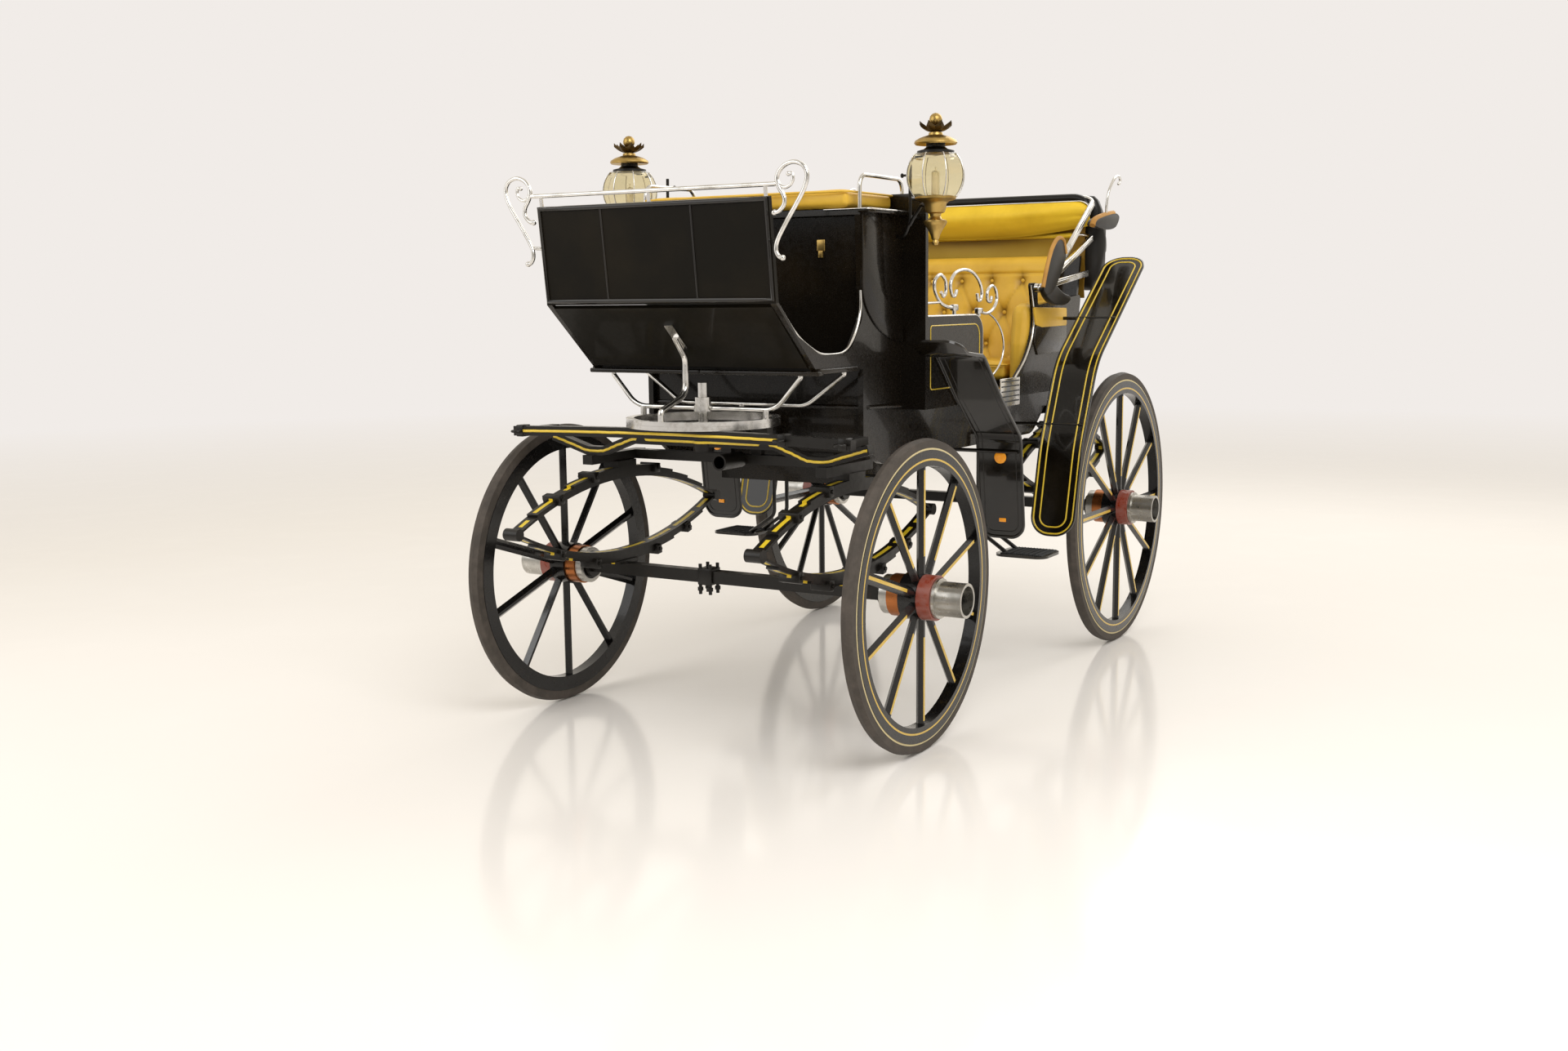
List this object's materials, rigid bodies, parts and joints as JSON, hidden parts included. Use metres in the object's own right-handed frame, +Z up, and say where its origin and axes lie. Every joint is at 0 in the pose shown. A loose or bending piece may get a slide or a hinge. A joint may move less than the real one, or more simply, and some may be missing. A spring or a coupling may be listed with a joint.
{
  "type": "horse drawn carriage",
  "caption": "Horse drawn carriage of the Victoria type: coachman's box, low open body with facing seats, elliptic springs, turning front carriage, folded hood and globe lamps.",
  "frame": {"origin": "on the ground at the middle of the carriage's length and width", "axes": "+X forward to the pole, +Y to the coachman's left, +Z up"},
  "size_m": [3.0479, 1.74, 2.0279],
  "materials": {
    "black_lacquer": "gloss",
    "black_iron": "satin",
    "bright_metal": "polished",
    "tyre_rubber": "matt",
    "black_wood": "gloss",
    "hood_leather": "satin",
    "seat_cloth": "satin",
    "floor_mat": "matt",
    "lamp_glass": "clear"
  },
  "bodies": {
    "carriage": {"body_sides": "black_lacquer", "body_floor": "black_lacquer", "boot_sides": "black_lacquer", "dash": "black_lacquer", "seat_box": "black_lacquer", "bulkhead": "black_lacquer", "jump_seat_sides": "black_lacquer", "bench": "black_lacquer", "quarter_panels": "black_lacquer", "rear_seat_box": "black_lacquer", "rear_panels": "black_lacquer", "mudguards": "black_lacquer", "fenders": "black_lacquer", "steps": "black_lacquer", "rear_axle": "black_iron", "rear_springs": "black_iron", "rear_bed": "black_iron", "hood_rear_bow": "black_iron", "body_irons": "bright_metal", "king_pin": "bright_metal", "fifth_wheel_upper": "bright_metal", "dash_rail": "bright_metal", "dash_scrolls": "bright_metal", "seat_arm_rails": "bright_metal", "side_rails": "bright_metal", "hood_pivots": "bright_metal", "lamps": "bright_metal", "hood_leather": "hood_leather", "driver_cushion": "seat_cloth", "bench_cushion": "seat_cloth", "rear_cushion": "seat_cloth", "rear_seat_back": "seat_cloth", "arm_pads": "seat_cloth", "boot_floor": "floor_mat", "lamp_glasses": "lamp_glass"},
    "front_carriage": {"front_axle": "black_iron", "front_springs": "black_iron", "futchells": "black_iron", "cross_bar": "black_iron", "bed": "black_iron", "splinter_bar": "black_iron", "fifth_wheel_lower": "bright_metal", "pole_socket": "black_iron"},
    "hood_front": {"hood_front_bow": "black_iron", "hood_roll": "seat_cloth"},
    "hood_middle": {"hood_middle_bow": "black_iron"},
    "wheel_front_left": {"wheel_front_left_tyre": "tyre_rubber", "wheel_front_left_wood": "black_wood", "wheel_front_left_hub": "bright_metal"},
    "wheel_front_right": {"wheel_front_right_tyre": "tyre_rubber", "wheel_front_right_wood": "black_wood", "wheel_front_right_hub": "bright_metal"},
    "wheel_rear_left": {"wheel_rear_left_tyre": "tyre_rubber", "wheel_rear_left_wood": "black_wood", "wheel_rear_left_hub": "bright_metal"},
    "wheel_rear_right": {"wheel_rear_right_tyre": "tyre_rubber", "wheel_rear_right_wood": "black_wood", "wheel_rear_right_hub": "bright_metal"}
  },
  "joints": [
    {"name": "steering", "type": "hinge", "parent": "carriage", "child": "front_carriage", "pos_m": [1.079, 0, 1.037], "axis": [0, 0, 1], "range_deg": [-20, 20]},
    {"name": "wheel_front_left_spin", "type": "hinge", "parent": "front_carriage", "child": "wheel_front_left", "pos_m": [0.926, 0.71, 0.5], "axis": [0, 1, 0], "continuous": true},
    {"name": "wheel_front_right_spin", "type": "hinge", "parent": "front_carriage", "child": "wheel_front_right", "pos_m": [0.926, -0.71, 0.5], "axis": [0, 1, 0], "continuous": true},
    {"name": "wheel_rear_left_spin", "type": "hinge", "parent": "carriage", "child": "wheel_rear_left", "pos_m": [-0.964, 0.71, 0.56], "axis": [0, 1, 0], "continuous": true},
    {"name": "wheel_rear_right_spin", "type": "hinge", "parent": "carriage", "child": "wheel_rear_right", "pos_m": [-0.964, -0.71, 0.56], "axis": [0, 1, 0], "continuous": true},
    {"name": "hood_raise", "type": "hinge", "parent": "carriage", "child": "hood_front", "pos_m": [-0.495, 0, 1.466], "axis": [0, 1, 0], "range_deg": [0, 95]},
    {"name": "hood_middle_raise", "type": "hinge", "parent": "carriage", "child": "hood_middle", "pos_m": [-0.495, 0, 1.466], "axis": [0, 1, 0], "range_deg": [0, 47.5]}
  ],
  "couplings": [
    {"joint": "hood_middle_raise", "follows": "hood_raise", "ratio": 0.5}
  ]
}
